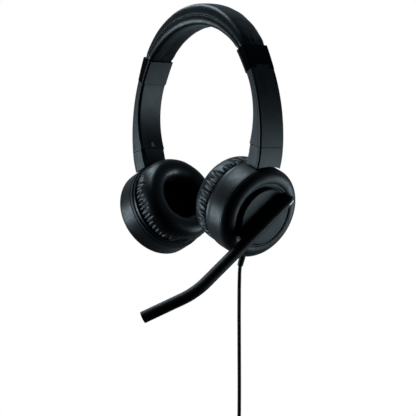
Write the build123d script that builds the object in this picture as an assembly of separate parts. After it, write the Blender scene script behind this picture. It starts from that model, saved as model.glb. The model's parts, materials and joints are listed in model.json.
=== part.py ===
"""On-ear office headset with a swinging microphone boom and a hanging cord.

+X is the wearer's left, -Y the wearer's front and +Z up. The origin is the middle of the
headband pad's underside, where the headset rests on the crown of the head. Millimetres.
"""
from build123d import *
import os
from math import cos, degrees, pi, radians, sin, sqrt, tan

# ---- headband, seen from the front ----
BAND_WIDTH = 23.0
BAND_TOP_RADIUS = 67.5
BAND_UNDER_RADIUS = 67.8
BAND_CROWN_THICKNESS = 16.5
COVER_THICKNESS = 1.0
SPRING_RADIUS = 64.4
SPRING_THICKNESS = 0.8
SPRING_WIDTH = 12.0
SPRING_HALF_ANGLE = 65.0
WIRE_RADIUS = 0.7
WIRE_ARC_RADIUS = 61.5
WIRE_Y = 6.2
WIRE_HALF_ANGLE = 63.5
COVER_FILLET = 3.0
FOAM_FILLET = 2.2
SEAM_REACH = 4.0

# ---- outlines of the left side, as (x, z) points: top, middle, bottom ----
CAP_OUTER = [(59.6, -19.0), (63.45, -27.6), (67.0, -36.5)]
CAP_INNER = [(50.6, -23.8), (55.5, -32.0), (60.0, -40.5)]
ARM_OUTER = [(67.13, -36.77), (75.1, -66.0), (75.8, -94.8)]
ARM_INNER = [(60.13, -40.77), (66.5, -70.0), (62.3, -91.0)]
YOKE_OUTER = [(75.7, -95.2), (74.4, -103.0), (71.0, -113.0)]
YOKE_INNER = [(62.2, -91.4), (60.4, -98.5), (56.6, -107.5)]

# ---- end caps, arms and yokes ----
CAP_WIDTH = 24.0
CAP_SPLIT = 0.74
CAP_WALL_SHARE = 0.26
CAP_FILLET = 1.6
CAP_BEVEL = 1.2
ARM_WIDTH = 23.0
ARM_SPLIT = 0.25
YOKE_SPLIT = 0.15
SPLIT_GAP_SHARE = 0.03
LIP_SHARE = 0.5
LIP_INSET = 0.8
OUTER_BEVEL = 0.9
INNER_BEVEL = 1.6
YOKE_BEVEL = 2.4
ARM_POCKET_SHARE = 0.78
POCKET_WIDTH = 13.8
NOTCH_WIDTH = 13.0
NOTCH_HEIGHT = 3.0
NOTCH_DEPTH = 1.3
TAB_CLEARANCE = 0.3

# ---- sizing slide: a curved steel strip that turns about the centre of its arc ----
SLIDE_RADIUS = 160.0
SLIDE_CENTRE = (-81.7, -106.2)
SLIDE_START = 18.6
SLIDE_END = 36.4
SLIDE_TRAVEL = 24.0
STRIP_THICKNESS = 1.2
STRIP_WIDTH = 10.0
STRIP_CLEARANCE = 0.5
CHANNEL_START = 24.0
CHANNEL_OVERRUN = 0.4
DETENT_FIRST = 2.0
DETENT_PITCH = 3.0
DETENT_RADIUS = 0.7

# ---- screws ----
SCREW_HEAD_RADIUS = 1.45
SCREW_HEAD_HEIGHT = 0.9
SCREW_SHANK_RADIUS = 0.85
SCREW_LENGTH = 4.2
SCREW_SINK = 0.5
SCREW_RECESS = (1.7, 0.4, 0.5)
SCREW_WELL_CLEARANCE = 0.2
CAP_SCREW_Y = 8.8
CAP_SCREW_SHARE = 0.45
ARM_SCREW_Y = 8.1
ARM_SCREW_SHARE = 0.94
YOKE_SCREW_Y = 8.5
YOKE_SCREW_SHARE = 0.25

# ---- swivel between arm and yoke, and tilt between yoke and ear cup ----
SWIVEL_POINT = (69.0, -93.1)
SWIVEL_LEAN = 15.7
SWIVEL_PIN_RADIUS = 3.0
SWIVEL_PIN_BORE = 1.2
SWIVEL_PIN_UP = 8.0
SWIVEL_PIN_DOWN = 4.6
BEARING_ROOF = 2.0
RUNNING_CLEARANCE = 0.05
TILT_PIN_DEPTH = -7.4
TILT_PIN_HEIGHT = 38.6
TILT_PIN_RADIUS = 1.3
TILT_PIN_LENGTH = 17.0
LUG_RADIUS = 2.6
LUG_WIDTH = 7.0
LUG_CLEARANCE = 0.5
LUG_POCKET_HEIGHT = 10.0
SADDLE_GAP = 1.0

# ---- ear cups: depths run along the cup's axis, outwards from its front rim ----
CUP_CENTRE = (59.0, 0.0, -142.0)
CUP_LEAN = 22.1
CUP_RADIUS = 35.0
WALL = 2.0
HOUSING_FRONT = -0.8
HOUSING_REAR = -12.4
BAFFLE_FRONT = -12.5
BAFFLE_REAR = -15.2
BAFFLE_RADIUS = 34.7
BAFFLE_THICKNESS = 1.7
PLATE_SPIGOT = (32.0, 29.0)
DRIVER_RADIUS = 16.5
DRIVER_OPENING = 14.6
PLATE_FRONT = -15.9
PLATE_REAR = -17.9
PLATE_RADIUS = 33.9
EAR_OPENING = 17.0
FILM_THICKNESS = 0.3
BASKET_BACK = -9.6
MAGNET_REAR = -8.7
MAGNET_FRONT = -6.4
MAGNET_RADIUS = 8.6
MAGNET_CORE_RADIUS = 6.8
MAGNET_CORE_REAR = -10.6
VENT_SPREAD = 11.2
VENT_RADIUS = 1.8
VENT_COUNT = 6
CLOTH_RADIUS = 18.5
CLOTH_THICKNESS = 0.4
CUSHION_FACE = -36.6
CUSHION_RADIUS = 33.6
CUSHION_HOLE = 16.6
HUB_RADIUS = 21.8
HUB_FACE = 8.6
HUB_BACK = 5.2
BOSS_RADIUS = 7.0
BOSS_TOP = 4.8
BOSS_BOTTOM = -4.0
PIVOT_RADIUS = 4.0
PIVOT_BORE = 1.6
COLLAR_RADIUS = 5.6
COLLAR_THICKNESS = 1.0
COLLAR_GAP = 0.4

POST_SPREAD = 27.0
POST_RADIUS = 1.6
POST_BOTTOM = -3.8
POST_TURNS = (90, 210, 330)
RING_RIM = 34.9
RING_CREST = 25.2
RING_TOP = 5.9
RING_WALL = 1.4
GROOVE_WIDTH = 0.5
LIP_WIDTH = 0.9
LIP_TOP = 5.5
FLANGE_TOP = 4.4
FLANGE_RADIUS = 9.0
HUB_BEVEL = 0.8
BOARD_RADIUS = 31.0
BOARD_HOLE = 9.0
BOARD_EDGE = 4.0
BOARD_REAR = -5.0
BOARD_THICKNESS = 1.2
CHIP_SPOTS = [(-14, 14), (2, 21), (16, 13)]
CHIP_SIZE = 5.0
CHIP_HEIGHT = 0.9

# ---- microphone boom ----
BOOM_DROP = 46.4
BOOM_AXIS_DEPTH = 13.0
BOOM_RADIUS = 4.4
BOOM_BORE = 2.8
BOOM_FOOT = 4.9
BOOM_TAIL = 20.4
BOOM_FOOT_FRONT = 17.5
BOOM_STRAIGHT = 65.6
BOOM_BEND_RADIUS = 43.7
BOOM_BEND = 27.9
BOOM_END = 31.6
SLOT_START = 3.5
SLOT_LENGTH = 10.5
SLOT_WIDTH = 1.8
SLOT_FLOOR = 0.3
MESH_SINK = 0.5
MESH_THICKNESS = 0.4
TIP_THICKNESS = 2.0
CAPSULE_RADIUS = 2.7
CAPSULE_LENGTH = 4.0
LIGHT_START = -22.6
LIGHT_LENGTH = 4.6
LIGHT_WIDTH = 0.9
LIGHT_DEPTH = 0.55
LIGHT_LEAN = -5.0

# ---- cord ----
CORD_DIAMETER = 2.8
RELIEF_DEPTH = -3.9
RELIEF_LENGTH = 9.0
RELIEF_TOP_RADIUS = 2.4
RELIEF_END_RADIUS = 2.15
CORD_DROP_X = 37.2
CORD_DROP_Y = -1.2
CORD_BEND_Z = -303.0
COIL_MEAN_RADIUS = 16.0
COIL_THICKNESS = 11.8
COIL_WIDTH = 11.8
COIL_FILLET = 2.0
COIL_LEAVE_ANGLE = 150.0
ARC_SHARE = 0.45
CORD_STEP = 6.0
CORD_BENDS = (30, 60, 90)
TAIL_RUN = 14.0
TAIL_DROP = 10.0
TIE_THICKNESS = 0.8
TIE_WIDTH = 7.0
TIE_ANGLE = 120.0
PLUG_GRIP = (8.0, 16.0, 26.0)
PLUG_SHELL = (4.5, 12.0, 12.5)
PLUG_FILLET = 1.5
PLUG_SHEET = 0.4
PLUG_CAVITY = 1.9

BOTTOM = (Align.CENTER, Align.CENTER, Align.MIN)
TOP = (Align.CENTER, Align.CENTER, Align.MAX)
FORWARD = (Align.MIN, Align.CENTER, Align.CENTER)
ALONG = (Align.MIN, Align.CENTER, Align.MIN)
BELOW = (Align.CENTER, Align.MAX, Align.CENTER)
ABOVE = (Align.CENTER, Align.MIN, Align.CENTER)
BIG = 400.0


# ---------------------------------------------------------------- helpers
def between(a, b, share):
    """The point a share of the way from a to b."""
    return (a[0] + (b[0] - a[0]) * share, a[1] + (b[1] - a[1]) * share)


def layer(outer, inner, start, end):
    """The face between two shares of the way from an outer to an inner outline."""
    near = [between(a, b, start) for a, b in zip(outer, inner)]
    far = [between(a, b, end) for a, b in zip(outer, inner)]
    sides = [
        ThreePointArc(near[0], near[1], near[2]),
        Line(near[2], far[2]),
        ThreePointArc(far[2], far[1], far[0]),
        Line(far[0], near[0]),
    ]
    return make_face(sides)


def slab(face, width):
    """A front-view face given its width from front to rear."""
    return extrude(Plane.XZ * face, amount=width / 2, both=True)


def long_edges(solid):
    """The curved edges of a slab, from the head side to the outer side."""
    curves = solid.edges().filter_by(GeomType.CIRCLE)
    return curves.sort_by(lambda edge: (edge @ 0.5).X)


def arc_band(centre, radius, thickness, width, start, end):
    """A strip bent to an arc about an axis along Y, between two angles from +X."""
    outer = CenterArc(centre, radius + thickness / 2, start, end - start)
    inner = CenterArc(centre, radius - thickness / 2, start, end - start)
    face = make_face([outer, Line(outer @ 1, inner @ 1), inner, Line(inner @ 0, outer @ 0)])
    return slab(face, width)


def tube(outer_radius, inner_radius, low, high):
    """A ring about Z between two heights."""
    ring = Cylinder(outer_radius, high - low, align=BOTTOM)
    if inner_radius > 0:
        ring -= Cylinder(inner_radius, high - low, align=BOTTOM)
    return Pos(0, 0, low) * ring


def spun(points):
    """A closed outline of (radius, height) points turned about Z."""
    return revolve(Plane.XZ * make_face(Polyline(points, close=True)), Axis.Z)


def other_side(solid):
    """The same piece on the wearer's right."""
    return mirror(solid, about=Plane.YZ)


# ---------------------------------------------------------------- headband
def band_face(inset):
    """The headband's front view between the end caps, drawn in by an inset."""
    top_centre = BAND_CROWN_THICKNESS - BAND_TOP_RADIUS
    outer = Pos(0, top_centre) * Circle(BAND_TOP_RADIUS - inset)
    under = Pos(0, -BAND_UNDER_RADIUS) * Circle(BAND_UNDER_RADIUS + inset)
    left_seam = [CAP_OUTER[0], CAP_INNER[0]]
    right_seam = [(-x, z) for x, z in left_seam]
    reach = [between(*left_seam, share) for share in (-SEAM_REACH, SEAM_REACH)]
    reach += [(0, -BIG)]
    reach += [between(*right_seam, share) for share in (SEAM_REACH, -SEAM_REACH)]
    reach += [(0, BIG)]
    return (outer - under) & make_face(Polyline(reach, close=True))


def slide_channels():
    """The room that both sizing strips need inside the headband and the end caps."""
    room = STRIP_THICKNESS + 2 * STRIP_CLEARANCE
    width = STRIP_WIDTH + 2 * STRIP_CLEARANCE
    end = SLIDE_END + CHANNEL_OVERRUN
    left = arc_band(SLIDE_CENTRE, SLIDE_RADIUS, room, width, CHANNEL_START, end)
    return left + other_side(left)


def headband_nodes():
    """The padded band: its cover, foam, steel spring and the wire between the two ears."""
    spring_centre = (0, BAND_CROWN_THICKNESS - BAND_TOP_RADIUS)
    spring_start = 90 - SPRING_HALF_ANGLE
    spring = arc_band(
        spring_centre, SPRING_RADIUS, SPRING_THICKNESS, SPRING_WIDTH, spring_start, 180 - spring_start
    )
    wire_path = Plane.XZ * CenterArc(
        spring_centre, WIRE_ARC_RADIUS, 90 - WIRE_HALF_ANGLE, 2 * WIRE_HALF_ANGLE
    )
    wire_start = Plane(origin=wire_path @ 0, z_dir=wire_path % 0)
    wire = Pos(0, WIRE_Y, 0) * sweep(wire_start * Circle(WIRE_RADIUS), path=wire_path)
    skin = slab(band_face(0), BAND_WIDTH)
    skin = fillet(long_edges(skin), COVER_FILLET)
    filling = slab(band_face(COVER_THICKNESS), BAND_WIDTH - 2 * COVER_THICKNESS)
    filling = fillet(long_edges(filling), FOAM_FILLET)
    foam = filling - spring - wire - slide_channels()
    return {
        "headband_cover": skin - filling,
        "headband_foam": foam,
        "headband_spring": spring,
        "headband_wire": wire,
    }


# ---------------------------------------------------------------- screws
def screw_seat(outline, share, y):
    """A plane on an inner outline, facing the head, at a share of its length."""
    curve = ThreePointArc(outline[0], outline[1], outline[2])
    spot = curve @ share
    run = curve % share
    return Plane(origin=(spot.X, y, spot.Y), x_dir=(0, 1, 0), z_dir=(run.Y, 0, -run.X))


def screw():
    """A small pan-head screw along -Z with a cross recess, its head's top at the origin."""
    body = Cylinder(SCREW_HEAD_RADIUS, SCREW_HEAD_HEIGHT, align=TOP)
    body += Cylinder(SCREW_SHANK_RADIUS, SCREW_LENGTH, align=TOP)
    for turn in (0, 90):
        body -= Rot(0, 0, turn) * Box(*SCREW_RECESS, align=TOP)
    return body


def screw_pair(outline, share, y):
    """The two screws of a cover, and the holes that they need."""
    screws = []
    holes = []
    well_radius = SCREW_HEAD_RADIUS + SCREW_WELL_CLEARANCE
    bore_radius = SCREW_SHANK_RADIUS + RUNNING_CLEARANCE
    bore_depth = SCREW_SINK + SCREW_LENGTH + SCREW_WELL_CLEARANCE
    for side in (-y, y):
        seat = screw_seat(outline, share, side)
        screws.append(seat * Pos(0, 0, -SCREW_SINK) * screw())
        well = Cylinder(well_radius, SCREW_SINK + SCREW_HEAD_HEIGHT, align=TOP)
        bore = Cylinder(bore_radius, bore_depth, align=TOP)
        holes.append(seat * (well + bore))
    return screws, holes


# ---------------------------------------------------------------- end caps
def notch_block(width, height, depth):
    """The block at the lower edge of the cap's outer face where the arm's tab sits."""
    low = CAP_OUTER[2]
    up = CAP_OUTER[1]
    length = sqrt((up[0] - low[0]) ** 2 + (up[1] - low[1]) ** 2)
    rise = ((up[0] - low[0]) / length, (up[1] - low[1]) / length)
    seat = Plane(origin=(low[0], 0, low[1]), x_dir=(0, 1, 0), z_dir=(-rise[1], 0, rise[0]))
    block = Box(width, 2 * height, 2 * depth)
    return seat * block


def end_cap_nodes():
    """The polished outer shell and the inner plate at the band's end, with its screws."""
    screws, holes = screw_pair(CAP_INNER, CAP_SCREW_SHARE, CAP_SCREW_Y)
    channels = slide_channels()
    outer = slab(layer(CAP_OUTER, CAP_INNER, 0, CAP_SPLIT), CAP_WIDTH)
    outer = fillet(long_edges(outer)[-2:], CAP_FILLET)
    outer -= slab(layer(CAP_OUTER, CAP_INNER, CAP_WALL_SHARE, 1), POCKET_WIDTH)
    outer -= notch_block(NOTCH_WIDTH, NOTCH_HEIGHT, NOTCH_DEPTH)
    outer = outer - holes - channels
    inner = slab(layer(CAP_OUTER, CAP_INNER, CAP_SPLIT, 1), CAP_WIDTH)
    inner = chamfer(long_edges(inner)[:2], CAP_BEVEL)
    inner = inner - holes - channels
    return {"end_cap_outer": outer, "end_cap_inner": inner}, screws


# ---------------------------------------------------------------- arms
def slider_strip():
    """The sizing strip, with detent notches along both edges."""
    strip = arc_band(
        SLIDE_CENTRE, SLIDE_RADIUS, STRIP_THICKNESS, STRIP_WIDTH, SLIDE_START, SLIDE_END
    )
    step = degrees(DETENT_PITCH / SLIDE_RADIUS)
    count = int(SLIDE_TRAVEL / DETENT_PITCH) + 1
    first = SLIDE_END - DETENT_FIRST
    for index in range(count):
        angle = radians(first - index * step)
        spot = (
            SLIDE_CENTRE[0] + SLIDE_RADIUS * cos(angle),
            0,
            SLIDE_CENTRE[1] + SLIDE_RADIUS * sin(angle),
        )
        across = Plane(origin=spot, x_dir=(0, 1, 0), z_dir=(cos(angle), 0, sin(angle)))
        for side in (-1, 1):
            notch = Cylinder(DETENT_RADIUS, 2 * STRIP_THICKNESS)
            strip -= across * Pos(side * STRIP_WIDTH / 2, 0, 0) * notch
    return strip


def swivel_plane(offset):
    """A plane across the swivel's axis, a distance up the arm from the seam."""
    lean = radians(SWIVEL_LEAN)
    up = (sin(lean), 0, cos(lean))
    origin = (
        SWIVEL_POINT[0] + up[0] * offset,
        0,
        SWIVEL_POINT[1] + up[2] * offset,
    )
    return Plane(origin=origin, x_dir=(0, 1, 0), z_dir=up)


def arm_tab():
    """The tongue at the top of the arm's outer shell that shows in the cap's notch."""
    tab = notch_block(
        NOTCH_WIDTH - 2 * TAB_CLEARANCE, NOTCH_HEIGHT - TAB_CLEARANCE, NOTCH_DEPTH - TAB_CLEARANCE
    )
    outer = [CAP_OUTER[0], CAP_OUTER[1], ARM_OUTER[0]]
    inner = [CAP_INNER[0], CAP_INNER[1], ARM_INNER[0]]
    return tab & slab(layer(outer, inner, 0, LIP_SHARE), NOTCH_WIDTH)


def arm_nodes():
    """The hollow arm: two shells, the sizing strip between them and the swivel's bearing."""
    screws, holes = screw_pair(ARM_INNER, ARM_SCREW_SHARE, ARM_SCREW_Y)
    outer = slab(layer(ARM_OUTER, ARM_INNER, 0, ARM_SPLIT), ARM_WIDTH)
    outer = chamfer(long_edges(outer)[-2:], OUTER_BEVEL)
    outer = outer + arm_tab()
    inner = slab(layer(ARM_OUTER, ARM_INNER, ARM_SPLIT + SPLIT_GAP_SHARE, 1), ARM_WIDTH)
    inner = chamfer(long_edges(inner)[:2], INNER_BEVEL)
    inner += slab(layer(ARM_OUTER, ARM_INNER, ARM_SPLIT, LIP_SHARE), ARM_WIDTH - 2 * LIP_INSET)
    pocket = slab(layer(ARM_OUTER, ARM_INNER, 0, ARM_POCKET_SHARE), POCKET_WIDTH)
    above_bearing = swivel_plane(SWIVEL_PIN_UP + BEARING_ROOF) * Box(BIG, BIG, BIG, align=BOTTOM)
    inner -= pocket & above_bearing
    bearing = swivel_plane(0) * tube(
        SWIVEL_PIN_RADIUS + RUNNING_CLEARANCE, 0, -1, SWIVEL_PIN_UP + RUNNING_CLEARANCE
    )
    inner = inner - bearing - holes
    return {
        "arm_outer_shell": outer - bearing,
        "arm_inner_shell": inner,
        "slider_strip": slider_strip(),
        "arm_screws": Compound(children=screws),
    }


# ---------------------------------------------------------------- yokes
def cup_plane():
    """The ear cup's own frame: x to the rear, y up and z outwards along its axis."""
    lean = radians(CUP_LEAN)
    return Plane(origin=CUP_CENTRE, x_dir=(0, 1, 0), z_dir=(cos(lean), 0, -sin(lean)))


def tilt_cylinder(radius, length):
    """A cylinder on the tilt axis, from front to rear."""
    return cup_plane() * Pos(0, TILT_PIN_HEIGHT, TILT_PIN_DEPTH) * Rot(0, 90, 0) * Cylinder(
        radius, length
    )


def yoke_nodes():
    """The yoke over the ear cup: two covers, their screws and the pins of both its joints."""
    screws, holes = screw_pair(YOKE_INNER, YOKE_SCREW_SHARE, YOKE_SCREW_Y)
    drum_room = cup_plane() * tube(CUP_RADIUS + SADDLE_GAP, 0, -40, 20)
    below = cup_plane() * Pos(0, -BIG / 2, 0) * Box(BIG, BIG, BIG)
    lug_room = LUG_WIDTH + 2 * LUG_CLEARANCE
    knuckle_room = tilt_cylinder(LUG_RADIUS + LUG_CLEARANCE, lug_room)
    pocket = Box(lug_room, LUG_POCKET_HEIGHT, 2 * (LUG_RADIUS + LUG_CLEARANCE) + LUG_CLEARANCE, align=BELOW)
    knuckle_room += cup_plane() * Pos(0, TILT_PIN_HEIGHT, TILT_PIN_DEPTH) * pocket
    outer = slab(layer(YOKE_OUTER, YOKE_INNER, 0, YOKE_SPLIT), ARM_WIDTH)
    outer = chamfer(long_edges(outer)[-2:], OUTER_BEVEL)
    outer = outer - drum_room - below
    inner = slab(layer(YOKE_OUTER, YOKE_INNER, YOKE_SPLIT + SPLIT_GAP_SHARE, 1), ARM_WIDTH)
    inner = chamfer(long_edges(inner)[:2], YOKE_BEVEL)
    inner += slab(layer(YOKE_OUTER, YOKE_INNER, YOKE_SPLIT, LIP_SHARE), ARM_WIDTH - 2 * LIP_INSET)
    inner = inner - drum_room - below - knuckle_room - holes
    pin_room = swivel_plane(0) * tube(SWIVEL_PIN_RADIUS, 0, -SWIVEL_PIN_DOWN, 1)
    inner -= pin_room
    inner -= tilt_cylinder(TILT_PIN_RADIUS, TILT_PIN_LENGTH)
    swivel_pin = swivel_plane(0) * tube(
        SWIVEL_PIN_RADIUS, SWIVEL_PIN_BORE, -SWIVEL_PIN_DOWN, SWIVEL_PIN_UP - STRIP_CLEARANCE
    )
    return {
        "yoke_outer_cover": outer,
        "yoke_inner_cover": inner,
        "yoke_screws": Compound(children=screws),
        "swivel_pin": swivel_pin,
        "tilt_pin": tilt_cylinder(TILT_PIN_RADIUS, TILT_PIN_LENGTH),
    }


# ---------------------------------------------------------------- ear cups
def cup_housing():
    """The drum behind the front ring, with its boss, posts and the knuckle of the tilt hinge."""
    lug_foot = CUP_RADIUS - WALL
    shell = tube(CUP_RADIUS, lug_foot, HOUSING_REAR, HOUSING_FRONT)
    shell += tube(CUP_RADIUS - WALL / 2, 0, HOUSING_FRONT - WALL, HOUSING_FRONT)
    shell += tube(BOSS_RADIUS, 0, BOSS_BOTTOM, BOSS_TOP)
    post = Pos(POST_SPREAD, 0, 0) * tube(POST_RADIUS, 0, POST_BOTTOM, HOUSING_FRONT - WALL / 2)
    for turn in POST_TURNS:
        shell += Rot(0, 0, turn) * post
    knuckle = Pos(0, TILT_PIN_HEIGHT, TILT_PIN_DEPTH) * Rot(0, 90, 0) * Cylinder(LUG_RADIUS, LUG_WIDTH)
    web = Box(LUG_WIDTH, TILT_PIN_HEIGHT - lug_foot, 2 * LUG_RADIUS, align=ABOVE)
    shell = shell + knuckle + Pos(0, lug_foot, TILT_PIN_DEPTH) * web
    shell -= tube(PIVOT_RADIUS + RUNNING_CLEARANCE, 0, BOSS_BOTTOM - 1, BOSS_TOP + 1)
    pin_hole = Rot(0, 90, 0) * Cylinder(TILT_PIN_RADIUS + RUNNING_CLEARANCE, LUG_WIDTH + 1)
    shell -= Pos(0, TILT_PIN_HEIGHT, TILT_PIN_DEPTH) * pin_hole
    return shell


def front_ring():
    """The convex trim round the hub, with a lip, a thin groove and a flange behind the hub."""
    rim = RING_RIM
    crest = RING_CREST
    groove = crest - GROOVE_WIDTH
    lip = groove - LIP_WIDTH
    under = crest + RING_WALL / 2
    crown = ThreePointArc((rim, 0.4), (31.2, 5.2), (crest, RING_TOP))
    hollow = ThreePointArc((under, 4.3), (30.2, 3.7), (rim - RING_WALL, -0.4))
    steps = [
        (crest, RING_TOP),
        (crest, LIP_TOP - 1),
        (groove, LIP_TOP - 1),
        (groove, LIP_TOP),
        (lip, LIP_TOP),
        (lip, FLANGE_TOP),
        (FLANGE_RADIUS, FLANGE_TOP),
        (FLANGE_RADIUS, FLANGE_TOP - RING_WALL),
        (under, FLANGE_TOP - RING_WALL),
        (under, 4.3),
    ]
    foot = [(rim - RING_WALL, -0.4), (rim, -0.4), (rim, 0.4)]
    face = make_face([crown, Polyline(steps), hollow, Polyline(foot)])
    return revolve(Plane.XZ * face, Axis.Z)


def ear_cushion():
    """The padded ring: flat where it meets the ear, rounded at both shoulders."""
    back = PLATE_REAR - RUNNING_CLEARANCE
    back_outside = (32.6, back)
    widest = (33.2, -28.0)
    face_outside = (27.6, CUSHION_FACE)
    face_inside = (22.6, CUSHION_FACE)
    throat = (CUSHION_HOLE, -29.0)
    back_inside = (CLOTH_RADIUS + STRIP_CLEARANCE, back)
    sides = [
        Line(back_inside, back_outside),
        ThreePointArc(back_outside, (CUSHION_RADIUS, -21.5), widest),
        ThreePointArc(widest, (31.6, -33.8), face_outside),
        Line(face_outside, face_inside),
        ThreePointArc(face_inside, (18.2, -34.2), throat),
        Line(throat, back_inside),
    ]
    return revolve(Plane.XZ * make_face(sides), Axis.Z)


def driver_basket():
    """The driver's frame: a rim and a back plate with a ring of vent holes."""
    basket = tube(DRIVER_RADIUS, DRIVER_OPENING, BAFFLE_FRONT, BASKET_BACK)
    basket += tube(DRIVER_RADIUS, MAGNET_CORE_RADIUS, BASKET_BACK, MAGNET_REAR)
    vent = Pos(VENT_SPREAD, 0, 0) * tube(VENT_RADIUS, 0, BAFFLE_FRONT, 0)
    for index in range(VENT_COUNT):
        basket -= Rot(0, 0, index * 360 / VENT_COUNT) * vent
    return basket


def diaphragm():
    """A thin dome over the voice coil with a shallow surround."""
    rear = [(0, -11.0), (6.5, -11.9), (7.5, -11.6), (11.5, -11.4), (DRIVER_OPENING - 0.1, -12.3)]
    front = [(radius, depth + FILM_THICKNESS) for radius, depth in reversed(rear)]
    return spun(rear + front)


def cup_nodes():
    """One ear cup's pieces, each about the cup's axis."""
    baffle_floor = BAFFLE_FRONT - BAFFLE_THICKNESS
    baffle = tube(BAFFLE_RADIUS, CUP_RADIUS - WALL - 1, BAFFLE_REAR, BAFFLE_FRONT)
    baffle += tube(CUP_RADIUS - WALL, 0, baffle_floor, BAFFLE_FRONT)
    baffle -= tube(DRIVER_OPENING, 0, BAFFLE_REAR, 0)
    plate = tube(PLATE_RADIUS, EAR_OPENING, PLATE_REAR, PLATE_FRONT)
    plate += tube(*PLATE_SPIGOT, PLATE_FRONT, baffle_floor)
    magnet = tube(MAGNET_RADIUS, 0, MAGNET_REAR, MAGNET_FRONT)
    magnet += tube(MAGNET_CORE_RADIUS, 0, MAGNET_CORE_REAR, MAGNET_REAR)
    cloth = tube(CLOTH_RADIUS, 0, PLATE_REAR - CLOTH_THICKNESS, PLATE_REAR)
    pieces = {
        "cup_housing": cup_housing(),
        "front_ring": front_ring(),
        "baffle": baffle,
        "driver_basket": driver_basket(),
        "driver_magnet": magnet,
        "driver_diaphragm": diaphragm(),
        "grille_cloth": cloth,
        "cushion_plate": plate,
        "ear_cushion": ear_cushion(),
    }
    return {name: cup_plane() * piece for name, piece in pieces.items()}


def hub_disc():
    """The bevelled disc in the middle of the cup's outer face."""
    rim = HUB_RADIUS - HUB_BEVEL
    shoulder = HUB_FACE - HUB_BEVEL
    side = [(HUB_RADIUS, HUB_BACK), (HUB_RADIUS, shoulder)]
    return spun([(0, HUB_BACK), *side, (rim, HUB_FACE), (0, HUB_FACE)])


def circuit_board():
    """A crescent of board above the boss, with three square chips on its ear side."""
    ring = tube(BOARD_RADIUS, BOARD_HOLE, BOARD_REAR, BOARD_REAR + BOARD_THICKNESS)
    board = ring & (Pos(0, BOARD_EDGE, 0) * Box(BIG, BIG, BIG, align=ABOVE))
    chip = Box(CHIP_SIZE, CHIP_SIZE, 2 * CHIP_HEIGHT, align=BOTTOM)
    for x, y in CHIP_SPOTS:
        board += Pos(x, y, BOARD_REAR - CHIP_HEIGHT) * chip
    return board


# ---------------------------------------------------------------- microphone boom
def boom_plane():
    """The boom's frame in the cup's frame: x along the boom, y outwards, at the tube's axis."""
    drop = radians(BOOM_DROP)
    along = (-cos(drop), -sin(drop), 0)
    across = (-sin(drop), cos(drop), 0)
    return Plane(origin=(0, 0, BOOM_AXIS_DEPTH), x_dir=along, z_dir=across)


def boom_path(start, end_trim):
    """The centre line: straight over the hub, one gentle bend to the mouth, then straight."""
    first = Line((start, 0), (BOOM_STRAIGHT, 0))
    bend = CenterArc((BOOM_STRAIGHT, -BOOM_BEND_RADIUS), BOOM_BEND_RADIUS, 90, -BOOM_BEND)
    heading = bend % 1
    tip = bend @ 1 + heading * (BOOM_END - end_trim)
    return first + bend + Line(bend @ 1, tip)


def boom_body(path):
    """The boom's tube and the foot that carries its first part on the hub."""
    section = Plane(origin=(-BOOM_TAIL, 0, 0), x_dir=(0, 1, 0), z_dir=(1, 0, 0))
    arm = sweep(section * Circle(BOOM_RADIUS), path=path)
    arm += Pos(-BOOM_TAIL, 0, 0) * Sphere(BOOM_RADIUS)
    drop = BOOM_AXIS_DEPTH - HUB_FACE
    outline = [(BOOM_RADIUS, 0), (BOOM_FOOT, -drop), (-BOOM_FOOT, -drop), (-BOOM_RADIUS, 0)]
    foot_start = Plane(origin=(-BOOM_TAIL, 0, 0), x_dir=(0, 0, 1), z_dir=(-1, 0, 0))
    foot_face = make_face(Polyline(outline, close=True))
    arm += extrude(foot_start * foot_face, amount=-(BOOM_TAIL + BOOM_FOOT_FRONT))
    end_foot = Rot(90, 0, 0) * Cone(BOOM_RADIUS, BOOM_FOOT, drop, align=BOTTOM)
    for spot in (-BOOM_TAIL, BOOM_FOOT_FRONT):
        arm += Pos(spot, 0, 0) * end_foot
    return arm


def boom_nodes():
    """The boom with its microphone, sound port and indicator, and the hub that it turns on."""
    path = boom_path(-BOOM_TAIL, 0)
    arm = boom_body(path)
    bore_start = Plane(origin=(0, 0, 0), x_dir=(0, 1, 0), z_dir=(1, 0, 0))
    bore = sweep(bore_start * Circle(BOOM_BORE), path=boom_path(0, TIP_THICKNESS))
    heading = path % 1
    outward = Vector(-heading.Y, heading.X, 0)
    capsule_centre = path @ 1 - heading * (SLOT_START + SLOT_LENGTH / 2)
    slot_plane = Plane(origin=capsule_centre + outward * BOOM_RADIUS, x_dir=heading, z_dir=outward)
    slot = slot_plane * Box(SLOT_LENGTH, SLOT_WIDTH, 2 * (BOOM_RADIUS - BOOM_BORE) - SLOT_FLOOR)
    mesh = slot_plane * Pos(0, 0, -MESH_SINK) * Box(SLOT_LENGTH, SLOT_WIDTH, MESH_THICKNESS, align=TOP)
    lean = radians(LIGHT_LEAN)
    light_plane = Plane(origin=(LIGHT_START, 0, 0), x_dir=(1, 0, 0), z_dir=(0, cos(lean), sin(lean)))
    light_block = Box(LIGHT_LENGTH, LIGHT_WIDTH, BOOM_RADIUS, align=ALONG)
    light = arm & (light_plane * Pos(0, 0, BOOM_RADIUS - LIGHT_DEPTH) * light_block)
    pieces = {
        "boom_arm": arm - bore - slot - light,
        "mic_capsule": Plane(origin=capsule_centre, z_dir=heading) * Cylinder(CAPSULE_RADIUS, CAPSULE_LENGTH),
        "mic_port_mesh": mesh,
        "indicator_light": light,
    }
    placed = {name: cup_plane() * boom_plane() * piece for name, piece in pieces.items()}
    placed["hub_disc"] = cup_plane() * hub_disc()
    collar_top = BOSS_BOTTOM - COLLAR_GAP
    pivot = tube(PIVOT_RADIUS, PIVOT_BORE, collar_top, HUB_BACK)
    pivot += tube(COLLAR_RADIUS, PIVOT_BORE, collar_top - COLLAR_THICKNESS, collar_top)
    placed["boom_pivot"] = cup_plane() * pivot
    return placed


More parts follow.
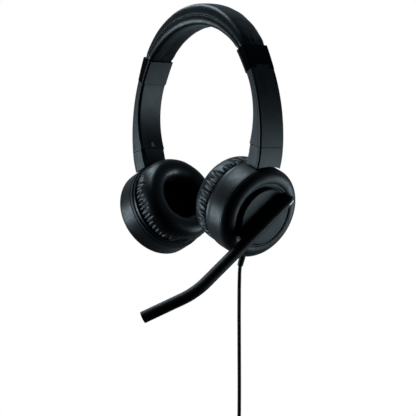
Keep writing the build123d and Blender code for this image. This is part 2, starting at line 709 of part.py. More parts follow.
# ---------------------------------------------------------------- cord
def rounding_radii(points):
    """The arc radius at each inner point: as large as its two runs allow."""
    radii = []
    for before, here, after in zip(points, points[1:], points[2:]):
        into = Vector(here) - Vector(before)
        out = Vector(after) - Vector(here)
        turn = radians(into.get_angle(out))
        radii.append(ARC_SHARE * min(into.length, out.length) / tan(turn / 2))
    return radii


def cord_tube(points, name):
    """A round tube along straight runs joined by tangent arcs."""
    radii = rounding_radii(points)
    print(name, "radii", [round(radius, 1) for radius in radii])
    path = FilletPolyline(*points, radius=radii)
    start = Plane(origin=path @ 0, z_dir=path % 0)
    solid = sweep(start * Circle(CORD_DIAMETER / 2), path=path)
    ideal = pi * CORD_DIAMETER ** 2 / 4 * path.length
    print(name, "length", round(path.length, 1), "volume ratio", round(solid.volume / ideal, 4))
    return solid


def winding(skin):
    """The wound coil's outer form about Z, thickened all round by a skin."""
    half_width = COIL_WIDTH / 2 + skin
    half_thickness = COIL_THICKNESS / 2 + skin
    outer = COIL_MEAN_RADIUS + half_thickness
    inner = COIL_MEAN_RADIUS - half_thickness
    return fillet(tube(outer, inner, -half_width, half_width).edges(), COIL_FILLET + skin)


def relief_and_exit():
    """The tapered strain relief, the point where the cord leaves it and the way it points."""
    root = Plane(origin=(0, 1 - CUP_RADIUS, RELIEF_DEPTH), x_dir=(1, 0, 0), z_dir=(0, -1, 0))
    place = cup_plane() * root
    length = RELIEF_LENGTH + 1
    relief = place * Cone(RELIEF_TOP_RADIUS, RELIEF_END_RADIUS, length, align=BOTTOM)
    relief -= cup_plane() * tube(CUP_RADIUS, 0, HOUSING_REAR, HUB_FACE)
    return relief, (place * Pos(0, 0, length)).position, Plane(place).z_dir


def cord_route(exit_point, heading):
    """The corners of the hanging cord: out of the relief, straight down, then round to the coil."""
    lean_out = heading * ((exit_point.X - CORD_DROP_X) / -heading.X)
    route = [tuple(exit_point), tuple(exit_point + lean_out), (CORD_DROP_X, CORD_DROP_Y, CORD_BEND_Z)]
    for bend in CORD_BENDS:
        x, y, z = route[-1]
        route.append((x - CORD_STEP * sin(radians(bend)), y, z - CORD_STEP * cos(radians(bend))))
    return route


def plug_nodes(top):
    """The moulded grip and the hollow metal shell of the plug, hanging from a point."""
    grip = Pos(*top) * Box(*PLUG_GRIP, align=TOP)
    grip = fillet(grip.edges().filter_by(Axis.Z), PLUG_FILLET)
    mouth = Pos(top[0], top[1], top[2] - PLUG_GRIP[2])
    shell = mouth * Box(*PLUG_SHELL, align=TOP)
    cavity = Box(PLUG_CAVITY, PLUG_SHELL[1] - 2 * PLUG_SHEET, PLUG_SHELL[2], align=TOP)
    shell -= mouth * Pos(PLUG_SHELL[0] / 2 - PLUG_SHEET - PLUG_CAVITY / 2, 0, -PLUG_SHEET) * cavity
    return grip, shell


def cord_nodes():
    """The cord from the ear cup to its plug, with the put-away length wound in a tied coil."""
    relief, exit_point, heading = relief_and_exit()
    route = cord_route(exit_point, heading)
    outer_turn = COIL_MEAN_RADIUS + (COIL_THICKNESS - CORD_DIAMETER) / 2
    coil_place = Pos(route[-1][0], CORD_DROP_Y, route[-1][2] - outer_turn)
    centre = coil_place.position
    coil = coil_place * Rot(90, 0, 0) * winding(0)
    leave = radians(COIL_LEAVE_ANGLE)
    tail_start = centre + Vector(cos(leave), 0, sin(leave)) * outer_turn
    tail_corner = tail_start + Vector(-sin(leave), 0, cos(leave)) * TAIL_RUN
    plug_top = tail_corner + Vector(0, 0, -TAIL_DROP)
    tail = [tuple(point) for point in (tail_start, tail_corner, plug_top)]
    sector = Rot(0, 0, TIE_ANGLE) * Box(BIG, TIE_WIDTH, BIG, align=FORWARD)
    tie = (winding(TIE_THICKNESS) - winding(0)) & sector
    grip, shell = plug_nodes(tail[-1])
    print("cord route", [tuple(round(value, 2) for value in point) for point in route])
    print("coil centre", centre, "outer turn", outer_turn)
    print("tail", [tuple(round(value, 2) for value in point) for point in tail])
    return {
        "strain_relief": relief,
        "cord": cord_tube(route, "cord") - coil,
        "cord_coil": coil,
        "cord_tail": cord_tube(tail, "cord_tail") - coil,
        "cord_tie": coil_place * Rot(90, 0, 0) * tie,
        "usb_plug_grip": grip,
        "usb_plug_shell": shell,
    }


# ---------------------------------------------------------------- the whole headset
def build():
    """Every piece by name: the left side is modelled and mirrored for the right."""
    nodes = dict(headband_nodes())
    cap, cap_screws = end_cap_nodes()
    for name, piece in {**cap, **arm_nodes(), **yoke_nodes(), **cup_nodes()}.items():
        nodes["left_" + name] = piece
        nodes["right_" + name] = other_side(piece)
    nodes["end_cap_screws"] = Compound(children=cap_screws + [other_side(one) for one in cap_screws])
    nodes["right_hub_cover"] = other_side(cup_plane() * hub_disc())
    nodes["circuit_board"] = cup_plane() * circuit_board()
    nodes.update(boom_nodes())
    nodes.update(cord_nodes())
    return nodes


os.makedirs("parts", exist_ok=True)
for name, piece in build().items():
    export_step(piece, "parts/" + name + ".step")
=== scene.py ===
"""The office headset's looks: camera, cord, headband, ear cushions, side marks, finishes and light."""
import json
import random
from math import atan2, cos, exp, pi, radians, sin, sqrt

import bmesh
import bpy
from mathutils import Matrix, Vector, noise


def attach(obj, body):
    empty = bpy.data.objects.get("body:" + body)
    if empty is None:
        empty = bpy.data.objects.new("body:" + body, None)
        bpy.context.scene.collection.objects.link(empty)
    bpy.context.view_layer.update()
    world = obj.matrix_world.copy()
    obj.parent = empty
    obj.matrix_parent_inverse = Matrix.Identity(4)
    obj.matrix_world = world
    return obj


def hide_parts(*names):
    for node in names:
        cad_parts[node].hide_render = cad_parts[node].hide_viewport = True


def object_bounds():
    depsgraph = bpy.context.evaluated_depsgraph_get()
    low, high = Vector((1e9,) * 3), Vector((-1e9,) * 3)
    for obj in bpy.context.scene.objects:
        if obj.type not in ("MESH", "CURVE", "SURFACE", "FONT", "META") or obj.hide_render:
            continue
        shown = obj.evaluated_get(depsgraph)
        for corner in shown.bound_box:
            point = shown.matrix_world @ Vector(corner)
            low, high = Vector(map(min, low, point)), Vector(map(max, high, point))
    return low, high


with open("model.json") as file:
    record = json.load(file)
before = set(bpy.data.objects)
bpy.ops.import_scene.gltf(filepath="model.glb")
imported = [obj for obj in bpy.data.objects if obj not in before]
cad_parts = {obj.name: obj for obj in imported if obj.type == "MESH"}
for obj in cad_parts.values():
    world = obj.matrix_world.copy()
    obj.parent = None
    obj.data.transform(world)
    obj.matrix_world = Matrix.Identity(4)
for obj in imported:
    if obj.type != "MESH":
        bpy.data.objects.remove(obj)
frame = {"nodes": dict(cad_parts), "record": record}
CAD_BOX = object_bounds()
MM = 0.001

# ---- camera, as an orbit about the crown rest ----
VIEW_AZIMUTH = 49.67
VIEW_ELEVATION = 0.56
VIEW_ROLL = -0.8
VIEW_DISTANCE = 1.1265
VIEW_RIGHT = 0.0038
VIEW_UP = -0.1385
LENS_MM = 127.9
SENSOR_MM = 36

# ---- ear cups ----
CUP_CENTRE = Vector((0.059, 0, -0.142))
CUP_LEAN = radians(22.1)

# ---- headband, seen from the front, in millimetres ----
TOP_RADIUS = 67.5
TOP_CENTRE = -51.0
TOP_END = (59.6, -19.0)
UNDER_RADIUS = 67.8
UNDER_CENTRE = -67.8
UNDER_END = (50.6, -23.8)
BAND_HALF_WIDTH = 11.5
CREASE_SHARE = 0.485

# ---- cord ----
CORD_DIAMETER = 0.0028
CORD_ROUTE = [
    (0.03883, 0.0, -0.1813),
    (0.0372, 0.0, -0.18532),
    (0.0372, -0.0012, -0.303),
    (0.0342, -0.0012, -0.3082),
    (0.029, -0.0012, -0.3112),
    (0.023, -0.0012, -0.3112),
]
CORD_TAIL = [(-0.00175, -0.0012, -0.33357), (-0.00175, -0.0012, -0.34357)]
COIL_CENTRE = Vector((0.023, -0.0012, -0.3317))
COIL_OUTER_RADIUS = 20.5
COIL_LAYERS = 4
COIL_PITCH = 3.0
COIL_STEPS_PER_TURN = 24
COIL_MOVE_DEGREES = 60


# ---------------------------------------------------------------- helpers
def new_object(name, data):
    """An object in the scene that holds a mesh, a curve, a text, a light or a camera."""
    piece = bpy.data.objects.new(name, data)
    bpy.context.scene.collection.objects.link(piece)
    return piece


def new_mesh(name, points, faces):
    """A smooth-shaded mesh."""
    mesh = bpy.data.meshes.new(name)
    mesh.from_pydata([tuple(p) for p in points], [], faces)
    mesh.validate()
    mesh.polygons.foreach_set("use_smooth", [True] * len(mesh.polygons))
    mesh.update()
    return mesh


def fix_normals(piece):
    """Turns the faces of a closed mesh outwards."""
    work = bmesh.new()
    work.from_mesh(piece.data)
    bmesh.ops.recalc_face_normals(work, faces=work.faces)
    work.to_mesh(piece.data)
    work.free()


def smooth_step(value, low, high):
    """Rises from 0 at low to 1 at high, level at both ends."""
    share = min(1.0, max(0.0, (value - low) / (high - low)))
    return share * share * (3 - 2 * share)


def through(points, count):
    """A smooth line through points, with count samples on each span."""
    line = []
    last = len(points) - 1
    for i in range(last):
        a, b, c, d = (Vector(points[max(0, min(last, i + k))]) for k in (-1, 0, 1, 2))
        for k in range(count):
            t = k / count
            line.append(
                0.5 * (2 * b + (c - a) * t + (2 * a - 5 * b + 4 * c - d) * t * t
                       + (3 * b - a - 3 * c + d) * t * t * t)
            )
    line.append(Vector(points[-1]))
    return line


def cup_matrix(side):
    """The ear cup's frame: z outwards along its axis and y up. Side is 1 for the wearer's left."""
    outward = Vector((side * cos(CUP_LEAN), 0, -sin(CUP_LEAN)))
    up = Vector((side * sin(CUP_LEAN), 0, cos(CUP_LEAN)))
    across = up.cross(outward)
    turn = Matrix((across, up, outward)).transposed().to_4x4()
    return Matrix.Translation((side * CUP_CENTRE.x, 0, CUP_CENTRE.z)) @ turn


# ---------------------------------------------------------------- camera
def make_camera():
    """Places the camera. Returns the direction from the object to it, and the level direction right."""
    azimuth, elevation, roll = radians(VIEW_AZIMUTH), radians(VIEW_ELEVATION), radians(VIEW_ROLL)
    back = Vector((sin(azimuth) * cos(elevation), -cos(azimuth) * cos(elevation), sin(elevation)))
    level = Vector((cos(azimuth), sin(azimuth), 0))
    upright = back.cross(level)
    right = cos(roll) * level + sin(roll) * upright
    up = cos(roll) * upright - sin(roll) * level
    data = bpy.data.cameras.new("camera")
    data.lens = LENS_MM
    data.sensor_width = SENSOR_MM
    data.clip_start = 0.01
    data.clip_end = 50
    camera = new_object("camera", data)
    place = Matrix((right, up, back)).transposed().to_4x4()
    place.translation = back * VIEW_DISTANCE + right * VIEW_RIGHT + up * VIEW_UP
    camera.matrix_world = place
    bpy.context.scene.camera = camera
    return back, level


# ---------------------------------------------------------------- cord
def coil_steps():
    """The winding's moves: degrees held, degrees of the move, its step outwards and its step along Y,
    in millimetres. Each layer crosses the coil, then steps in to the next. At the end the cord comes
    out over the coil's face into a slot left free in the outermost layer."""
    steps = [(0, COIL_MOVE_DEGREES, 0, COIL_PITCH / 2)]
    side = -1
    for layer in range(COIL_LAYERS):
        for crossing in range(3 if layer else 2):
            hold = 240 if layer and crossing == 0 else 300
            steps.append((hold, COIL_MOVE_DEGREES, 0, side * COIL_PITCH))
        if layer < COIL_LAYERS - 1:
            steps.append((240, COIL_MOVE_DEGREES, -COIL_PITCH, 0))
        side = -side
    steps.append((0, COIL_MOVE_DEGREES, 0, COIL_PITCH))
    steps.append((0, 180, (COIL_LAYERS - 1) * COIL_PITCH, 0))
    steps.append((0, COIL_MOVE_DEGREES, 0, -COIL_PITCH))
    return steps


def coil_points():
    """The cord's control points round the coil, from its top to where the tail leaves it."""
    stride = 360 / COIL_STEPS_PER_TURN
    corner_reach = 1 / cos(radians(stride / 2))
    points = []
    begin, radius, offset = 90, COIL_OUTER_RADIUS, 0
    angle = begin + stride
    for hold, move, outward, sideways in coil_steps():
        end = begin + hold + move
        while angle <= end:
            share = smooth_step(angle, begin + hold, end)
            reach = (radius + outward * share) * MM * corner_reach
            shift = (offset + sideways * share) * MM
            turn = radians(angle)
            points.append(COIL_CENTRE + Vector((reach * cos(turn), shift, reach * sin(turn))))
            angle += stride
        begin, radius, offset = end, radius + outward, offset + sideways
    return points


def make_cord():
    """The whole cord in one round curve: the straight drop, the winding and the tail to the plug."""
    curve = bpy.data.curves.new("cord_line", "CURVE")
    curve.dimensions = "3D"
    curve.bevel_depth = 1
    curve.bevel_resolution = 4
    curve.resolution_u = 4
    curve.use_fill_caps = True
    spline = curve.splines.new("NURBS")
    points = [Vector(p) for p in CORD_ROUTE] + coil_points() + [Vector(p) for p in CORD_TAIL]
    spline.points.add(len(points) - len(spline.points))
    for point, place in zip(spline.points, points):
        point.co = (*place, 1)
        point.radius = CORD_DIAMETER / 2
    spline.order_u = 3
    spline.use_endpoint_u = True
    cord = new_object("cord_line", curve)
    cord.data.materials.append(MATERIALS["cord_rubber"])
    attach(cord, "left_cup")
    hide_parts("cord", "cord_coil", "cord_tail")


# ---------------------------------------------------------------- ear cushions
# Its section, from the inner back edge over the crown to the outer one: the radius and the place
# along the cup's axis, in millimetres.
CUSHION_PROFILE = [
    (18.9, -18.1), (17.9, -21.0), (16.9, -25.0), (16.5, -29.0), (17.5, -33.0), (20.4, -36.0),
    (25.0, -37.0), (29.4, -35.7), (32.3, -32.0), (33.6, -27.0), (33.9, -22.5), (33.3, -19.4), (31.8, -18.1),
]
CUSHION_BACK = 18.1
CUSHION_CROWN = 37
PROFILE_STEPS = 5
# Gathers: widths and slants are in turns, how far one wanders is a share of the spacing, and depths
# and lengths are in millimetres.
PLEATS = 60
STEPS_PER_PLEAT = 9
PLEAT_WIDTH = 0.2 / PLEATS
PLEAT_WANDER = 0.22
PLEAT_DEPTHS = (1.0, 1.8)
PLEAT_LENGTHS = (8.0, 14.5)
PLEAT_SLANT = 0.012
INNER_PLEAT_SHARE = 0.32
LEATHER_UNEVENNESS = 0.35
CUSHION_SEED = 7


def pleats(seed):
    """Each gather's place in turns, depth and length in millimetres, and slant in turns."""
    rng = random.Random(seed)
    found = []
    for k in range(PLEATS):
        place = (k + rng.uniform(-PLEAT_WANDER, PLEAT_WANDER)) / PLEATS
        depth = rng.uniform(*PLEAT_DEPTHS)
        length = rng.uniform(*PLEAT_LENGTHS)
        found.append((place, depth, length, rng.uniform(-PLEAT_SLANT, PLEAT_SLANT)))
    return found


def pleat_depth(turn, height, folds):
    """How far the gathers pull the side wall in at a turn and a height over the cushion's back edge."""
    total = 0.0
    nearest = int(turn * PLEATS)
    for k in range(nearest - 2, nearest + 3):
        place, depth, length, slant = folds[k % PLEATS]
        gap = (turn - place - slant * height / length + 0.5) % 1 - 0.5
        fade = 1 - smooth_step(height, 0.25 * length, length)
        total += depth * fade * exp(-((gap / PLEAT_WIDTH) ** 2))
    return total


def cushion_spot(turn, radius, depth, folds, inner_folds, seed):
    """A point of the cushion's skin, in millimetres in the cup's frame."""
    angle = 2 * pi * turn
    spin = Vector((cos(angle), sin(angle), 0))
    outside = smooth_step(radius, 30.0, 33.0)
    inside = 1 - smooth_step(radius, 17.4, 19.5)
    past_edge = smooth_step(-depth, CUSHION_BACK, CUSHION_BACK + 0.9)
    height = max(0.0, -depth - CUSHION_BACK - 0.5)
    below_crown = max(0.0, CUSHION_CROWN + depth - 1.5)
    pull = outside * past_edge * pleat_depth(turn, height, folds)
    pucker = inside * past_edge * INNER_PLEAT_SHARE * pleat_depth(turn, below_crown, inner_folds)
    drift = noise.noise(Vector((spin.x * 2.2, spin.y * 2.2, depth * 0.09 + seed)))
    soft = drift * LEATHER_UNEVENNESS * past_edge
    reach = radius - pull + pucker + soft * (1 if radius > 25 else -1)
    return Vector((spin.x * reach, spin.y * reach, depth - soft * 0.4))


def make_cushion(side, body):
    """A crowned ring of soft leather, gathered where it is drawn under the plate's edge."""
    seed = CUSHION_SEED + side
    which = body.split("_")[0]
    profile = through(CUSHION_PROFILE, PROFILE_STEPS)
    folds = pleats(seed)
    inner_folds = pleats(seed + 1)
    turns = PLEATS * STEPS_PER_PLEAT
    place = cup_matrix(side)
    points = []
    for i in range(turns):
        for radius, depth in profile:
            spot = cushion_spot(i / turns, radius, depth, folds, inner_folds, seed)
            points.append(place @ (spot * MM))
    rows = len(profile)
    faces = []
    for i in range(turns):
        here, after = i * rows, ((i + 1) % turns) * rows
        for k in range(rows):
            following = (k + 1) % rows
            faces.append((here + k, here + following, after + following, after + k))
    name = which + "_cushion_leather"
    piece = new_object(name, new_mesh(name, points, faces))
    fix_normals(piece)
    piece.data.materials.append(MATERIALS["leatherette"])
    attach(piece, body)
    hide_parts(which + "_ear_cushion")


# ---------------------------------------------------------------- headband
# From the underside's middle, round the front, to the top's middle: shares of the half width and of
# the thickness, and how deep the crease is drawn in, in millimetres.
BAND_SECTION = [
    (0.0, 0.02, 0.0), (0.45, 0.0, 0.0), (0.76, 0.01, 0.0), (0.93, 0.09, 0.0), (1.01, 0.25, 0.0),
    (1.0, 0.4, 0.0), (0.985, 0.455, -0.1), (0.97, CREASE_SHARE, -0.9), (0.985, 0.505, -0.05),
    (0.99, 0.6, 0.0), (0.965, 0.76, 0.0), (0.88, 0.9, 0.0), (0.72, 0.98, 0.0), (0.42, 1.02, 0.0),
    (0.0, 1.035, 0.0),
]
BAND_STEPS = 180
END_PINCH = 0.085
END_NARROWING = 0.035
TOP_SPREAD = atan2(TOP_END[0], TOP_END[1] - TOP_CENTRE)
UNDER_SPREAD = atan2(UNDER_END[0], UNDER_END[1] - UNDER_CENTRE)


def band_line(radius, centre, angle):
    """A point of an arc round the head, in millimetres."""
    return Vector((radius * sin(angle), 0, centre + radius * cos(angle)))


def band_ring(u, section):
    """The band's outline at u, which runs from -1 at one end to 1 at the other."""
    top = band_line(TOP_RADIUS, TOP_CENTRE, u * TOP_SPREAD)
    under = band_line(UNDER_RADIUS, UNDER_CENTRE, u * UNDER_SPREAD)
    thickness = (top - under).length
    rise = (top - under) / thickness
    from_end = (1 - abs(u)) * TOP_SPREAD * TOP_RADIUS
    pinch = 1.0 - END_PINCH * (1 - smooth_step(from_end, 0.3, 6.0))
    narrowing = 1 - END_NARROWING * (1 - smooth_step(from_end, 0.3, 5.0))
    near_end = 1 - smooth_step(from_end, 3.0, 20.0)
    ring = []
    for across, share, crease in section:
        groove = crease * smooth_step(from_end, 1.0, 9.0)
        y = across * BAND_HALF_WIDTH * narrowing
        y -= (1 if across > 0 else -1) * abs(groove) * 0.9 * (1 if abs(across) > 0.5 else 0)
        level = 0.5 + (share - 0.5) * pinch
        fold = noise.noise(Vector((u * 9.0, across * 1.4, share * 2.0)))
        wrinkle = 0.3 * near_end * sin(across * 9 + fold * 4) * smooth_step(from_end, 0.4, 2.5)
        lift = (0.22 * fold + wrinkle * 0.6) * smooth_step(from_end, 0.4, 4.0)
        bulge = 1 if share > 0.5 else -1
        spot = under + rise * (level * thickness + bulge * lift * (1 - abs(across) * 0.4))
        ring.append(Vector((spot.x, y * (1 + 0.006 * fold), spot.z)) * MM)
    return ring


def make_headband():
    """The padded leather band: a rolled lower half, a crease and a smooth upper half."""
    half = through(BAND_SECTION, PROFILE_STEPS)
    section = [(-s.x, s.y, s.z) for s in half] + [(s.x, s.y, s.z) for s in reversed(half[1:-1])]
    rows = len(section)
    points = []
    for i in range(BAND_STEPS + 1):
        points += band_ring(2 * i / BAND_STEPS - 1, section)
    faces = []
    for i in range(BAND_STEPS):
        here, after = i * rows, (i + 1) * rows
        for k in range(rows):
            following = (k + 1) % rows
            faces.append((here + k, after + k, after + following, here + following))
    faces.append(tuple(range(rows)))
    faces.append(tuple(range(BAND_STEPS * rows, (BAND_STEPS + 1) * rows)))
    piece = new_object("headband_leather", new_mesh("headband_leather", points, faces))
    fix_normals(piece)
    piece.data.materials.append(MATERIALS["leatherette"])
    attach(piece, "headband")
    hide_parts("headband_cover", "headband_foam")


# ---------------------------------------------------------------- side marks
MARK_HEIGHT = 0.0037
MARK_LEVEL = -0.0882
MARK_RELIEF = 0.00003
STROKE_SWELL = 0.00004
CAPITAL_SHARE = 0.7
# Three spots on the inner face of the arm's mid line, outwards and upwards in millimetres.
ARM_INNER_ARC = [(60.13, -40.77), (66.5, -70.0), (62.3, -91.0)]


def arc_centre(a, b, c):
    """The centre of the circle through three points of a plane."""
    aa, bb, cc = a.length_squared, b.length_squared, c.length_squared
    divisor = 2 * (a.x * (b.y - c.y) + b.x * (c.y - a.y) + c.x * (a.y - b.y))
    x = (aa * (b.y - c.y) + bb * (c.y - a.y) + cc * (a.y - b.y)) / divisor
    y = (aa * (c.x - b.x) + bb * (a.x - c.x) + cc * (b.x - a.x)) / divisor
    return x, y


def arm_inner_spot(level):
    """The arm's inner face at a level: its distance from the middle and the way from the arc's centre."""
    spots = [Vector(spot) * MM for spot in ARM_INNER_ARC]
    x, y = arc_centre(*spots)
    radius = (spots[0] - Vector((x, y))).length
    reach = x + sqrt(radius ** 2 - (level - y) ** 2)
    return reach, Vector((reach - x, level - y)).normalized()


def letter_mesh(letter, place):
    """The letter as a thin solid, moved to its place."""
    text = bpy.data.curves.new(letter, "FONT")
    text.body = letter
    text.align_x = "CENTER"
    text.align_y = "CENTER"
    text.size = MARK_HEIGHT / CAPITAL_SHARE
    text.extrude = MARK_RELIEF
    text.offset = STROKE_SWELL
    holder = new_object("text", text)
    bpy.context.view_layer.update()
    mesh = bpy.data.meshes.new_from_object(holder.evaluated_get(bpy.context.evaluated_depsgraph_get()))
    bpy.data.objects.remove(holder)
    mesh.transform(place)
    return mesh


def make_mark(letter, side, body):
    """A printed letter on the arm's inner face, between its two screws."""
    x, slope = arm_inner_spot(MARK_LEVEL)
    facing = Vector((-side * slope.x, 0, -slope.y))
    right = Vector((0, -side, 0))
    up = facing.cross(right)
    place = Matrix((right, up, facing)).transposed().to_4x4()
    place.translation = Vector((side * x, 0, MARK_LEVEL)) + facing * MARK_RELIEF
    mesh = letter_mesh(letter, place)
    mesh.name = body.split("_")[0] + "_side_mark"
    piece = new_object(mesh.name, mesh)
    piece.data.materials.append(MATERIALS["printed_mark"])
    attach(piece, body)


# ---------------------------------------------------------------- materials
# The values that a noise texture mostly keeps to.
NOISE_SPAN = (0.3, 0.7)


class Finish:
    """A material's node tree, with short calls for what its finish needs."""

    def __init__(self, name, color, roughness, **sockets):
        self.material = bpy.data.materials.new(name)
        self.material.use_nodes = True
        self.tree = self.material.node_tree
        self.shader = self.tree.nodes["Principled BSDF"]
        self.color = color
        self.shader.inputs["Base Color"].default_value = (*color, 1)
        self.shader.inputs["Roughness"].default_value = roughness
        for socket, value in sockets.items():
            self.shader.inputs[socket.replace("_", " ")].default_value = value
        self.place = self.node("ShaderNodeTexCoord").outputs["Object"]
        self.height = None

    def node(self, kind, **settings):
        """A new node with its settings."""
        made = self.tree.nodes.new(kind)
        for key, value in settings.items():
            setattr(made, key, value)
        return made

    def link(self, output, target):
        self.tree.links.new(output, target)

    def noise(self, scale, detail=4.0, roughness=0.6, stretch=None):
        """Cloudy variation, drawn out along an axis where stretch says so."""
        texture = self.node("ShaderNodeTexNoise")
        texture.inputs["Scale"].default_value = scale
        texture.inputs["Detail"].default_value = detail
        texture.inputs["Roughness"].default_value = roughness
        where = self.place
        if stretch:
            mapping = self.node("ShaderNodeMapping")
            mapping.inputs["Scale"].default_value = stretch
            self.link(where, mapping.inputs["Vector"])
            where = mapping.outputs["Vector"]
        self.link(where, texture.inputs["Vector"])
        return texture.outputs["Fac"]

    def cells(self, scale):
        """Pebbles or pores: the distance to the nearest of scattered points."""
        texture = self.node("ShaderNodeTexVoronoi")
        texture.inputs["Scale"].default_value = scale
        self.link(self.place, texture.inputs["Vector"])
        return texture.outputs["Distance"]

    def vary_color(self, value, darker, lighter):
        """Colour drifts between two multiples of the base colour."""
        ramp = self.node("ShaderNodeValToRGB")
        for stop, position, factor in zip(ramp.color_ramp.elements, NOISE_SPAN, (darker, lighter)):
            stop.position = position
            stop.color = (*[c * factor for c in self.color], 1)
        self.link(value, ramp.inputs["Fac"])
        self.link(ramp.outputs["Color"], self.shader.inputs["Base Color"])

    def vary_roughness(self, value, low, high):
        """Roughness drifts between two values."""
        ranged = self.node("ShaderNodeMapRange")
        self.link(value, ranged.inputs["Value"])
        for key, number in zip(("From Min", "From Max", "To Min", "To Max"), (*NOISE_SPAN, low, high)):
            ranged.inputs[key].default_value = number
        self.link(ranged.outputs["Result"], self.shader.inputs["Roughness"])

    def bump(self, value, strength, distance):
        """Adds a layer of relief on those before it."""
        bump = self.node("ShaderNodeBump")
        bump.inputs["Strength"].default_value = strength
        bump.inputs["Distance"].default_value = distance
        self.link(value, bump.inputs["Height"])
        if self.height is not None:
            self.link(self.height, bump.inputs["Normal"])
        self.height = bump.outputs["Normal"]
        self.link(self.height, self.shader.inputs["Normal"])


def moulded_plastic(name, color, roughness):
    """Fine spark-eroded texture with faint handling marks."""
    finish = Finish(name, color, roughness)
    finish.vary_color(finish.noise(45, 5), 0.85, 1.2)
    finish.vary_roughness(finish.noise(160, 6), roughness - 0.05, roughness + 0.07)
    finish.bump(finish.noise(5200, 3), 0.05, 0.00006)
    finish.bump(finish.noise(60, 3), 0.02, 0.0002)
    return finish.material


def gloss_plastic(name, color):
    """Polished plastic with hair-fine wipe marks and a slight flow wave."""
    finish = Finish(name, color, 0.07, Coat_Weight=0.4, Coat_Roughness=0.03)
    finish.vary_color(finish.noise(70, 3), 0.8, 1.2)
    finish.vary_roughness(finish.noise(900, 6, stretch=(0.15, 1, 1)), 0.05, 0.11)
    finish.bump(finish.noise(40, 2), 0.02, 0.0002)
    return finish.material


def leatherette():
    """Smooth artificial leather: small pebble grain, fine creases and a soft sheen."""
    finish = Finish(
        "leatherette", (0.009, 0.0115, 0.0135), 0.38,
        Specular_IOR_Level=0.45, Sheen_Weight=0.04, Sheen_Roughness=0.4,
    )
    finish.vary_color(finish.noise(90, 5), 0.75, 1.25)
    finish.vary_roughness(finish.noise(350, 5), 0.34, 0.42)
    finish.bump(finish.cells(1700), 0.02, 0.00005)
    finish.bump(finish.noise(500, 4, 0.55), 0.02, 0.0001)
    finish.bump(finish.noise(70, 2), 0.05, 0.0005)
    return finish.material


def rubber(name, color, roughness=0.5):
    """Soft matt rubber with a fine grain."""
    finish = Finish(name, color, roughness, Specular_IOR_Level=0.4)
    finish.vary_color(finish.noise(120, 4), 0.8, 1.25)
    finish.vary_roughness(finish.noise(500, 5), roughness - 0.06, roughness + 0.08)
    finish.bump(finish.noise(2500, 4), 0.15, 0.00008)
    return finish.material


def brushed_metal(name, color, roughness, stretch=(1, 12, 1)):
    """Metal with fine scratches that run along one axis."""
    finish = Finish(name, color, roughness, Metallic=1.0)
    finish.vary_color(finish.noise(300, 5, stretch=stretch), 0.85, 1.05)
    finish.vary_roughness(finish.noise(900, 6, stretch=stretch), roughness - 0.08, roughness + 0.1)
    finish.bump(finish.noise(1400, 5, stretch=stretch), 0.1, 0.00005)
    return finish.material


def woven(name, color, threads, roughness=0.85):
    """Plain weave: two crossed sets of rounded threads."""
    finish = Finish(name, color, roughness)
    waves = []
    for direction in ("X", "Z"):
        wave = finish.node("ShaderNodeTexWave", bands_direction=direction)
        wave.inputs["Scale"].default_value = threads
        wave.inputs["Distortion"].default_value = 0.4
        finish.link(finish.place, wave.inputs["Vector"])
        waves.append(wave.outputs["Fac"])
    mix = finish.node("ShaderNodeMath", operation="MAXIMUM")
    finish.link(waves[0], mix.inputs[0])
    finish.link(waves[1], mix.inputs[1])
    finish.vary_color(mix.outputs["Value"], 0.5, 1.4)
    finish.bump(mix.outputs["Value"], 0.6, 0.0002)
    finish.bump(finish.noise(3000, 3), 0.2, 0.00005)
    return finish.material


def foam():
    """Open-celled foam whose pores are darkened with painted shade."""
    finish = Finish("cushion_foam", (0.06, 0.06, 0.064), 0.95)
    # The cell pattern darkens the colour at the pores: painted shade in the foam's hollows.
    finish.vary_color(finish.cells(900), 1.2, 0.4)
    finish.bump(finish.cells(900), 0.8, 0.0004)
    return finish.material


def board():
    """Green solder mask with darker bare patches and fine copper relief."""
    finish = Finish("board", (0.012, 0.11, 0.045), 0.32)
    finish.vary_color(finish.cells(260), 0.5, 1.3)
    finish.bump(finish.noise(700, 3), 0.2, 0.0001)
    return finish.material


def light_guide():
    """Milky plastic that glows faintly."""
    finish = Finish(
        "indicator_white", (0.8, 0.84, 0.88), 0.3,
        Emission_Color=(0.9, 0.95, 1, 1), Emission_Strength=0.45,
    )
    finish.vary_color(finish.noise(600, 3), 0.92, 1.05)
    finish.vary_roughness(finish.noise(900, 4), 0.24, 0.36)
    return finish.material


def printed_mark():
    """Worn grey print."""
    finish = Finish("printed_mark", (0.3, 0.32, 0.34), 0.6)
    finish.vary_color(finish.noise(2600, 5), 0.6, 1.3)
    finish.bump(finish.noise(4000, 3), 0.2, 0.00003)
    return finish.material


def screw_black_and_recess_shade():
    """Blackened screw heads, nearly without shine, their colour darkened further as painted shade that
    stands in for the recesses round them.
    """
    # Base colour below real blackened steel: partly the screws' own black, partly painted shade of their
    # recessed holes.
    finish = Finish("black_screw", (0.0025, 0.0025, 0.003), 0.55, Specular_IOR_Level=0.12)
    finish.vary_color(finish.noise(900, 5), 0.6, 1.6)
    finish.vary_roughness(finish.noise(1600, 5), 0.45, 0.65)
    finish.bump(finish.noise(2500, 4), 0.15, 0.00005)
    return finish.material


def film():
    """The driver's thin diaphragm."""
    finish = Finish("diaphragm_film", (0.2, 0.19, 0.16), 0.25)
    finish.vary_color(finish.noise(400, 4), 0.85, 1.15)
    finish.bump(finish.noise(900, 3), 0.1, 0.0001)
    return finish.material


